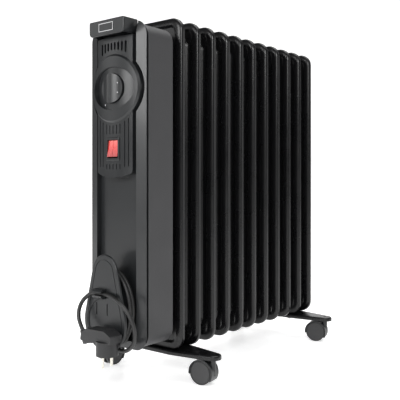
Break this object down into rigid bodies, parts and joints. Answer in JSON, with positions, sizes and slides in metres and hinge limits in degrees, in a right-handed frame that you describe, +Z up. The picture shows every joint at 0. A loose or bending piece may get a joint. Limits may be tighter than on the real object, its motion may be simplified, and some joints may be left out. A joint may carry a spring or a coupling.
{
  "type": "oil filled radiator heater",
  "caption": "Freestanding oil filled radiator with a row of pressed steel fins, a front control panel with thermostat knob and rocker switch, a cord winder and swivelling twin-wheel casters.",
  "frame": {"origin": "on the floor, under the middle of the heater's own bounding box without its cord and plug", "axes": "+Z up, +X across the fins to the right seen from the control end, -Y towards the control end"},
  "size_m": [0.26, 0.6105, 0.6325],
  "materials": {
    "black_plastic": "satin black",
    "box_steel": "matt dark grey",
    "bright_steel": "zinc plated",
    "caster_plastic": "satin black",
    "cord_rubber": "matt black",
    "cover_paint": "satin black",
    "dark_plastic": "satin black",
    "element_steel": "oxidised",
    "fin_steel": "semi-gloss black",
    "foot_paint": "semi-gloss black",
    "inner_plastic": "off-white",
    "knob_plastic": "satin black",
    "pin_brass": "nickel plated",
    "plug_rubber": "satin black",
    "rocker_red": "translucent red",
    "wheel_plastic": "satin black",
    "wire_sleeve": "brown and blue insulation"
  },
  "bodies": {
    "heater": {"control_box": "box_steel", "control_panel": "black_plastic", "cord_coil": "cord_rubber", "cord_gland": "dark_plastic", "cord_tail": "cord_rubber", "cover_screws": "bright_steel", "element_flange": "bright_steel", "fin_01": "fin_steel", "fin_02": "fin_steel", "fin_03": "fin_steel", "fin_04": "fin_steel", "fin_05": "fin_steel", "fin_06": "fin_steel", "fin_07": "fin_steel", "fin_08": "fin_steel", "fin_09": "fin_steel", "fin_10": "fin_steel", "fin_11": "fin_steel", "front_cover": "cover_paint", "front_foot_bar": "foot_paint", "handle": "black_plastic", "header_caps": "fin_steel", "heating_element_high": "element_steel", "heating_element_low": "element_steel", "inside_wiring": "wire_sleeve", "oil_filler_plug": "bright_steel", "plug_body": "plug_rubber", "plug_pins": "pin_brass", "rear_foot_bar": "foot_paint", "rocker_pivot_pin": "bright_steel", "switch_housing": "dark_plastic", "terminal_block": "inner_plastic", "thermal_cutout": "inner_plastic", "thermostat_body": "inner_plastic", "u_bolts": "bright_steel", "winder_hub": "black_plastic", "winder_plate": "black_plastic", "wing_nuts": "bright_steel"},
    "knob": {"knob": "knob_plastic", "thermostat_shaft": "bright_steel"},
    "rocker_left": {"rocker_left": "rocker_red"},
    "rocker_right": {"rocker_right": "rocker_red"},
    "caster_front_right": {"caster_hood_front_right": "caster_plastic", "caster_pins_front_right": "bright_steel"},
    "wheel_front_right_a": {"caster_wheel_front_right_a": "wheel_plastic"},
    "wheel_front_right_b": {"caster_wheel_front_right_b": "wheel_plastic"},
    "caster_rear_right": {"caster_hood_rear_right": "caster_plastic", "caster_pins_rear_right": "bright_steel"},
    "wheel_rear_right_a": {"caster_wheel_rear_right_a": "wheel_plastic"},
    "wheel_rear_right_b": {"caster_wheel_rear_right_b": "wheel_plastic"},
    "caster_front_left": {"caster_hood_front_left": "caster_plastic", "caster_pins_front_left": "bright_steel"},
    "wheel_front_left_a": {"caster_wheel_front_left_a": "wheel_plastic"},
    "wheel_front_left_b": {"caster_wheel_front_left_b": "wheel_plastic"},
    "caster_rear_left": {"caster_hood_rear_left": "caster_plastic", "caster_pins_rear_left": "bright_steel"},
    "wheel_rear_left_a": {"caster_wheel_rear_left_a": "wheel_plastic"},
    "wheel_rear_left_b": {"caster_wheel_rear_left_b": "wheel_plastic"}
  },
  "joints": [
    {"name": "knob_turn", "type": "hinge", "parent": "heater", "child": "knob", "pos_m": [0, -0.2575, 0.5018], "axis": [0, -1, 0], "range_deg": [-150, 150]},
    {"name": "rocker_left_tilt", "type": "hinge", "parent": "heater", "child": "rocker_left", "pos_m": [-0.00615, -0.257, 0.401], "axis": [1, 0, 0], "range_deg": [0, 16]},
    {"name": "rocker_right_tilt", "type": "hinge", "parent": "heater", "child": "rocker_right", "pos_m": [0.00615, -0.257, 0.401], "axis": [1, 0, 0], "range_deg": [0, 16]},
    {"name": "swivel_front_right", "type": "hinge", "parent": "heater", "child": "caster_front_right", "pos_m": [0.115, -0.1376, 0.04], "axis": [0, 0, 1], "continuous": true},
    {"name": "spin_front_right_a", "type": "hinge", "parent": "caster_front_right", "child": "wheel_front_right_a", "pos_m": [0.09727, -0.14073, 0.0205], "axis": [0.1736, -0.9848, 0], "continuous": true},
    {"name": "spin_front_right_b", "type": "hinge", "parent": "caster_front_right", "child": "wheel_front_right_b", "pos_m": [0.09727, -0.14073, 0.0205], "axis": [0.1736, -0.9848, 0], "continuous": true},
    {"name": "swivel_rear_right", "type": "hinge", "parent": "heater", "child": "caster_rear_right", "pos_m": [0.115, 0.2566, 0.04], "axis": [0, 0, 1], "continuous": true},
    {"name": "spin_rear_right_a", "type": "hinge", "parent": "caster_rear_right", "child": "wheel_rear_right_a", "pos_m": [0.09774, 0.25149, 0.0205], "axis": [0.284, -0.9588, 0], "continuous": true},
    {"name": "spin_rear_right_b", "type": "hinge", "parent": "caster_rear_right", "child": "wheel_rear_right_b", "pos_m": [0.09774, 0.25149, 0.0205], "axis": [0.284, -0.9588, 0], "continuous": true},
    {"name": "swivel_front_left", "type": "hinge", "parent": "heater", "child": "caster_front_left", "pos_m": [-0.115, -0.1376, 0.04], "axis": [0, 0, 1], "continuous": true},
    {"name": "spin_front_left_a", "type": "hinge", "parent": "caster_front_left", "child": "wheel_front_left_a", "pos_m": [-0.11563, -0.15559, 0.0205], "axis": [0.9994, -0.0349, 0], "continuous": true},
    {"name": "spin_front_left_b", "type": "hinge", "parent": "caster_front_left", "child": "wheel_front_left_b", "pos_m": [-0.11563, -0.15559, 0.0205], "axis": [0.9994, -0.0349, 0], "continuous": true},
    {"name": "swivel_rear_left", "type": "hinge", "parent": "heater", "child": "caster_rear_left", "pos_m": [-0.115, 0.2566, 0.04], "axis": [0, 0, 1], "continuous": true},
    {"name": "spin_rear_left_a", "type": "hinge", "parent": "caster_rear_left", "child": "wheel_rear_left_a", "pos_m": [-0.10884, 0.23969, 0.0205], "axis": [0.9397, 0.342, 0], "continuous": true},
    {"name": "spin_rear_left_b", "type": "hinge", "parent": "caster_rear_left", "child": "wheel_rear_left_b", "pos_m": [-0.10884, 0.23969, 0.0205], "axis": [0.9397, 0.342, 0], "continuous": true}
  ]
}
